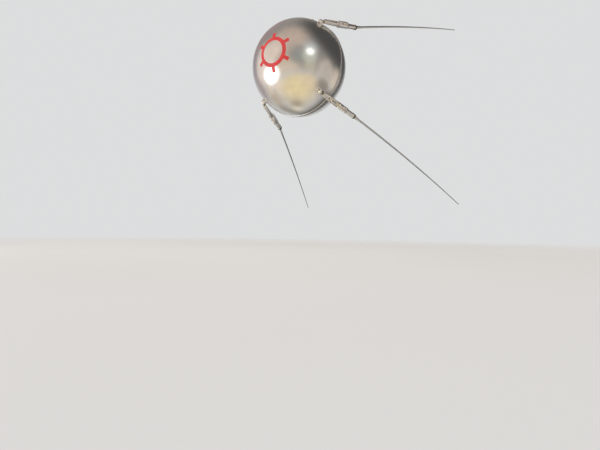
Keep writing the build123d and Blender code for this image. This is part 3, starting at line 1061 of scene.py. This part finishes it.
class Holders(bpy.types.Operator):
    """Holder tubes, dark bushes and ferrules"""
    bl_idname = "satellite.holders"
    bl_label = "Holders"

    def execute(self, context):
        sizes = context.scene.satellite_holder
        bend = context.scene.satellite_whip.splay - context.scene.satellite_arm.splay
        past_bush = Matrix.Translation((0, sizes.bush_end, 0)) @ Matrix.Rotation(bend, 4, "X")
        self.add_tubes(sizes)
        self.add_bushes(sizes, past_bush)
        self.add_ferrules(sizes, past_bush)
        return {"FINISHED"}

    def add_tubes(self, sizes):
        """Tubes with a thinner seat, a groove, a bead and a slot."""
        start, shoulder, end = sizes.tube_start, sizes.shoulder, sizes.tube_end
        bead_start = end - sizes.bead_length
        groove = sizes.bead - sizes.tube
        groove_start, groove_end = bead_start - 2 * groove, bead_start - groove
        waist = sizes.tube - groove / 2
        tube = turned("tube", rounded([
            (0.0, start, 0), (sizes.seat, start, 3 * tenth), (sizes.seat, shoulder, 0),
            (sizes.tube, shoulder, 3 * tenth), (sizes.tube, groove_start, 0), (waist, groove_start, 0),
            (waist, groove_end, 0), (sizes.tube, groove_end, 0), (sizes.tube, bead_start, 0),
            (sizes.bead, bead_start, 6 * tenth), (sizes.bead, end, 6 * tenth), (0.0, end, 0)]), steps=56)
        half = sizes.slot_width / 2
        end_rounding = half * 0.95
        slot = block("slot", (-half, sizes.slot_start, sizes.tube - sizes.slot_depth),
                     (half, sizes.slot_end, 2 * sizes.tube))
        smooth(carve(tube, round_uprights(slot, end_rounding, segments=6, up_to=sizes.slot_end)))
        spread_copies(tube, "holder", on_arm, "holder_metal", "turned_holder", "holder_tube")

    def add_bushes(self, sizes, past_bush):
        """Bushes with one groove round them, bent from the arm's line into the whip's."""
        start, end = sizes.tube_end, sizes.bush_end
        waist = sizes.bush - 5 * tenth
        groove_shares = (0.35, 0.42, 0.58, 0.65)
        groove = [start + (end - start) * groove_share for groove_share in groove_shares]
        bush = turned("bush", rounded([
            (0.0, start, 0), (sizes.bush, start, 7 * tenth), (sizes.bush, groove[0], 3 * tenth),
            (waist, groove[1], 0), (waist, groove[2], 0), (sizes.bush, groove[3], 3 * tenth),
            (sizes.bush, end, 7 * tenth), (0.0, end, 0)]), steps=48)
        lean = past_bush @ Matrix.Translation((0, -end, 0))
        for corner in bush.data.vertices:
            along = min(max((corner.co.y - start) / (end - start), 0.0), 1.0)
            corner.co = corner.co.lerp(lean @ corner.co, along)
        spread_copies(smooth(bush), "bush", on_arm, "dark_bush", "black_plastic", "insulator")

    def add_ferrules(self, sizes, past_bush):
        """Ferrules of a grooved ring and a cone, in line with the whip."""
        grooves, groove = 3, 3 * tenth
        ring_end = sizes.ring_length
        cone_end = ring_end + sizes.cone_length
        outline = [(0.0, 0.0, 0), (sizes.ring, 0.0, 4 * tenth)]
        for number in range(1, grooves + 1):
            place = ring_end * number / (grooves + 1)
            outline += [(sizes.ring, place - groove / 2, 0), (sizes.ring - groove, place, 0),
                        (sizes.ring, place + groove / 2, 0)]
        outline += [(sizes.ring, ring_end, 3 * tenth), (sizes.cone, ring_end, 2 * tenth),
                    (sizes.cone_tip, cone_end, 5 * tenth), (0.0, cone_end, 0)]

        def in_line(antenna):
            return antenna.arm @ past_bush, antenna.body

        ferrule = smooth(turned("ferrule", rounded(outline), steps=48))
        spread_copies(ferrule, "socket", in_line, "bright_fitting", "turned_holder", "ferrule")


class Whips(bpy.types.Operator):
    """Four tapered whips that droop a little"""
    bl_idname = "satellite.whips"
    bl_label = "Whips"

    def execute(self, context):
        sizes = context.scene.satellite_whip
        holder = context.scene.satellite_holder
        socket = holder.ring_length + holder.cone_length
        for antenna in antennas():
            whole, droop = sizes.lower_length, sizes.lower_droop
            if antenna.upper:
                whole, droop = sizes.upper_length, sizes.upper_droop
            way = antenna.way_out(sizes.splay)
            start = antenna.arm @ Vector((0, holder.bush_end, 0)) + way * socket
            rod = self.draw_rod(sizes, start, way, whole - socket, droop)
            settle_once(rod, "rod_" + antenna.name, antenna.arm, antenna.body, "whip_metal", "drawn_rod",
                        "whip_" + antenna.name, drawn_here=True)
        return {"FINISHED"}

    def draw_rod(self, sizes, start, way, reach, droop):
        """One rod with a round tip, drawn out section by section."""
        rests = [reach * number / sizes.stations for number in range(sizes.stations + 1)]
        radii = [sizes.root + (sizes.tip - sizes.root) * rest / reach for rest in rests]
        tip_angles = (30, 60, 80)
        for angle in tip_angles:
            rests.append(reach + sizes.tip * sin(radians(angle)))
            radii.append(sizes.tip * cos(radians(angle)))
        centres = [start + way * rest - upright * droop * (rest / reach)**2 for rest in rests]
        rod = primitive("circle", "rod", vertices=sizes.sides, radius=sizes.root, fill_type="NGON",
                        location=centres[0], rotation=way.to_track_quat("Z", "Y").to_euler())
        with editing(rod, "FACE"):
            for number in range(1, len(centres)):
                step = centres[number] - centres[number - 1]
                bpy.ops.mesh.extrude_region_move(TRANSFORM_OT_translate={"value": step})
                size = radii[number] / radii[number - 1]
                bpy.ops.transform.resize(value=(size, size, size), center_override=centres[number])
            close_up()
        return smooth(rod, sharper_than=40)


def area_lamp(name, place, target, width, height, radiance, tint):
    """Soft lamp of a set brightness, whatever its size, that shines at a target."""
    lamp = bpy.data.lights.new(name, "AREA")
    lamp.shape = "ELLIPSE"
    lamp.size, lamp.size_y = width, height
    lamp.energy = radiance * width * height * pi * pi / 4
    lamp.color = tint
    holder = bpy.data.objects.new(name, lamp)
    bpy.context.scene.collection.objects.link(holder)
    turned_to = (target - place).normalized().to_track_quat("-Z", "Y").to_matrix().to_4x4()
    holder.matrix_world = Matrix.Translation(place) @ turned_to
    holder.visible_camera = False
    return holder


def facing(azimuth, height):
    """Direction as seen from the ball: degrees from +Y towards +X, and degrees above the horizon."""
    azimuth, height = radians(azimuth), radians(height)
    return (sin(azimuth) * cos(height), cos(azimuth) * cos(height), sin(height))


# Soft lamps: name, azimuth, height, distance, width, tallness, brightness, tint, and whether
# polished metal mirrors it or matt surfaces take its light
lamps = (
    ("window", -140, -18, 0.95, 0.72, 0.5, 2.2, (1.0, 0.985, 0.98), True),
    ("lamp", 124, 17, 1.6, 0.42, 0.32, 2.2, (1.0, 1.0, 0.97), True),
    ("fill", -160, 25, 1.5, 1.6, 1.2, 1.5, (1.0, 0.98, 0.96), False),
)

# Painted pools of light and painted shade on the floor, as metal shows them: place, full within, gone
# beyond, colour
painted_light_and_shade = (
    (-0.6, -0.05, 0.1, 0.36, (0.66, 0.57, 0.46)),
    (-0.85, -0.38, 0.1, 0.34, (1.0, 0.86, 0.72)),
    (-0.32, -0.5, 0.08, 0.4, (0.98, 0.84, 0.72)),
    (0.22, -0.4, 0.2, 0.72, (1.0, 0.85, 0.52)),
    (0.62, -0.36, 0.12, 0.45, (1.0, 0.84, 0.58)),
    (0.78, 0.28, 0.18, 0.5, (0.36, 0.32, 0.28)),
    (-0.07, 0.04, 0.01, 0.19, (0.5, 0.42, 0.3)),
    (-0.17, 0.22, 0.07, 0.15, (0.98, 0.92, 0.76)),
    (-0.45, 0.34, 0.12, 0.32, (0.4, 0.38, 0.34)),
    (0.05, 1.05, 0.42, 0.85, (0.08, 0.085, 0.09)),
)

# Soft zones of the studio's walls, painted one over the other: azimuth, height, full within,
# gone beyond, colour
zones = (
    (175, 45, 10, 50, (0.66, 0.53, 0.45)),
    (180, -25, 15, 44, (0.8, 0.66, 0.52)),
    (-118, 4, 14, 45, (0.95, 0.83, 0.76)),
    (-145, 26, 8, 30, (0.95, 0.8, 0.7)),
    (151, 11, 6, 27, (0.35, 0.36, 0.34)),
    (121, -16, 6, 20, (0.62, 0.56, 0.45)),
    (120, 27, 3, 20, (0.62, 0.66, 0.68)),
    (124, 9, 3, 22, (0.68, 0.69, 0.6)),
    (-68, 18, 8, 26, (0.38, 0.34, 0.39)),
    (-66, 42, 6, 24, (0.4, 0.31, 0.31)),
    (-74, -8, 6, 22, (0.46, 0.4, 0.41)),
    (15, 14, 18, 42, (0.12, 0.12, 0.125)),
    (45, 46, 22, 54, (0.088, 0.088, 0.086)),
    (79, -13, 16, 29, (0.67, 0.59, 0.53)),
    (40, -11, 9, 24, (0.82, 0.71, 0.6)),
    (4, -26, 12, 30, (0.12, 0.12, 0.12)),
)

# The backdrop's zone in the mirrored studio, in degrees from the camera's line of sight
backdrop_within, backdrop_beyond = 20, 42

# The floor's reach, where it starts to fade into the backdrop and where it is gone
floor_reach, fade_start, fade_end = 60.0, 0.55, 2.2

# The floor's own glow, which also carries its painted pools of light and painted shade: its strength, and
# its share of what the camera and polished metal see
glow_strength, glow_share = 1.15, 0.7


class Stage(bpy.types.Operator):
    """Camera at the photograph's viewing angle, pale floor and soft light"""
    bl_idname = "satellite.stage"
    bl_label = "Stage"

    def execute(self, context):
        sizes = context.scene.satellite_stage
        scene = context.scene
        self.add_camera(scene, sizes)
        self.add_floor(sizes)
        self.add_world(scene, sizes)
        centre = ball_place()[0]
        for name, azimuth, height, distance, width, tall, radiance, tint, mirrored in lamps:
            place = centre + Vector(facing(azimuth, height)) * distance
            lamp = area_lamp(name, place, centre, width, tall, radiance, tint)
            lamp.visible_glossy = mirrored
            lamp.visible_diffuse = not mirrored
        scene.view_settings.view_transform = "Standard"
        return {"FINISHED"}

    def add_camera(self, scene, sizes):
        yaw, pitch, roll = sizes.yaw, sizes.pitch, sizes.roll
        forward = Vector((-sin(yaw) * cos(pitch), cos(yaw) * cos(pitch), sin(pitch)))
        level = forward.cross(upright).normalized()
        over = level.cross(forward)
        right = level * cos(roll) + over * sin(roll)
        up = over * cos(roll) - level * sin(roll)
        lens = bpy.data.cameras.new("camera")
        lens.lens, lens.sensor_width = sizes.lens, 36.0
        lens.clip_start, lens.clip_end = 0.01, 200.0
        camera = bpy.data.objects.new("camera", lens)
        scene.collection.objects.link(camera)
        turned_to = Matrix((right, up, -forward)).transposed().to_4x4()
        camera.matrix_world = Matrix.Translation(sizes.eye) @ turned_to
        scene.camera = camera

    def add_floor(self, sizes):
        """Pale floor that fades away far off. Polished metal sees the painted pools of light and painted
        shade on it.
        """
        level = sizes.eye[2] - sizes.floor_below
        floor = primitive("circle", "floor", vertices=96, radius=floor_reach, fill_type="NGON",
                          location=(0, 0, level))
        material = bpy.data.materials.new("pale_floor")
        material.use_nodes = True
        tree = material.node_tree
        shader = tree.nodes["Principled BSDF"]
        shader.inputs["Roughness"].default_value = 0.75
        place = add_node(tree, "ShaderNodeTexCoord", None, None, "Object")
        x, y, _ = place.parts()
        plain = noise(place, 1.3, 4.0).ramp(0.3, 0.7).blend(sizes.floor[:], dimmed(sizes.floor, 0.97))
        base = plain
        # Paint the pools of light and the patches of shade into the floor's colour, for all but the camera
        for spot_x, spot_y, inside, outside, tint in painted_light_and_shade:
            away_x, away_y = x - spot_x, y - spot_y
            near = 1 - (away_x * away_x + away_y * away_y).root().ramp(inside, outside)
            base = near.blend(base, tint)
        base = add_node(tree, "ShaderNodeLightPath", None, None, "Is Camera Ray").blend(base, plain)
        feed(shader, "Base Color", base)
        glow = add_node(tree, "ShaderNodeEmission", None, {"Color": base, "Strength": glow_strength})
        lit = add_node(tree, "ShaderNodeMixShader", None,
                       {0: seen(tree) * glow_share, 1: Wire(shader.outputs[0]), 2: glow})
        clear = add_node(tree, "ShaderNodeBsdfTransparent")
        far = (x * x + y * y).root().ramp(fade_start, fade_end)
        faded = add_node(tree, "ShaderNodeMixShader", None, {0: far, 1: lit, 2: clear})
        tree.links.new(faded.socket, tree.nodes["Material Output"].inputs["Surface"])
        floor.data.materials.append(material)

    def add_world(self, scene, sizes):
        """Even backdrop for the camera, and the painted zones of the studio for all else."""
        world = bpy.data.worlds.new("studio")
        scene.world = world
        world.use_nodes = True
        tree = world.node_tree
        way = add_node(tree, "ShaderNodeTexCoord", None, None, "Generated")
        colour_there = add_node(tree, "ShaderNodeRGB")
        colour_there.socket.default_value = (*sizes.room, 1.0)
        forward = (-degrees(sizes.yaw), degrees(sizes.pitch), backdrop_within, backdrop_beyond,
                   sizes.backdrop[:])
        for azimuth, height, inside, outside, tint in (*zones, forward):
            nearness = way.make("ShaderNodeVectorMath", {"operation": "DOT_PRODUCT"},
                                {0: way, 1: facing(azimuth, height)}, "Value")
            zone = nearness.ramp(cos(radians(outside)), cos(radians(inside)))
            colour_there = zone.blend(colour_there, tint)
        plain = add_node(tree, "ShaderNodeLightPath", None, None, "Is Camera Ray")
        sky = plain.blend(colour_there, sizes.backdrop[:])
        tree.links.new(sky.socket, tree.nodes["Background"].inputs["Color"])


def seen(tree):
    """1 for the camera's rays and for those that metal and glass send on."""
    path = add_node(tree, "ShaderNodeLightPath").socket.node
    camera, glossy, through = (Wire(path.outputs["Is " + kind + " Ray"])
                               for kind in ("Camera", "Glossy", "Transmission"))
    return camera.most(glossy).most(through)


class SatellitePanel(bpy.types.Panel):
    """Buttons for each group of pieces"""
    bl_idname = "SATELLITE_PT_build"
    bl_label = "Satellite"
    bl_space_type = "VIEW_3D"
    bl_region_type = "UI"
    bl_category = "Satellite"

    def draw(self, context):
        for maker in makers:
            self.layout.operator(maker.bl_idname)
        for name in settings:
            box = self.layout.box()
            group = getattr(context.scene, name)
            for key in group.bl_rna.properties.keys():
                if key not in ("name", "rna_type"):
                    box.prop(group, key)


settings = {
    "satellite_ball": BallSizes,
    "satellite_eyes": EyeSizes,
    "satellite_hinge": HingeSizes,
    "satellite_arm": ArmSizes,
    "satellite_holder": HolderSizes,
    "satellite_whip": WhipSizes,
    "satellite_finishes": Finishes,
    "satellite_stage": StageSizes,
}
makers = (HalfShells, SeamRings, SeamScrews, HangingEyes, Hinges, Swivels, ChannelArms, Clamps, Holders,
          Whips, Stage)


def register():
    for group in settings.values():
        bpy.utils.register_class(group)
    for name, group in settings.items():
        setattr(bpy.types.Scene, name, PointerProperty(type=group))
    for maker in makers:
        bpy.utils.register_class(maker)
    bpy.utils.register_class(SatellitePanel)


def unregister():
    bpy.utils.unregister_class(SatellitePanel)
    for maker in reversed(makers):
        bpy.utils.unregister_class(maker)
    for name, group in settings.items():
        delattr(bpy.types.Scene, name)
        bpy.utils.unregister_class(group)


def main():
    register()
    make_finishes()
    bpy.ops.satellite.half_shells()
    bpy.ops.satellite.seam_rings()
    bpy.ops.satellite.seam_screws()
    bpy.ops.satellite.hanging_eyes()
    bpy.ops.satellite.hinges()
    bpy.ops.satellite.swivels()
    bpy.ops.satellite.channel_arms()
    bpy.ops.satellite.clamps()
    bpy.ops.satellite.holders()
    bpy.ops.satellite.whips()
    bpy.ops.satellite.stage()


if __name__ == "__main__":
    main()
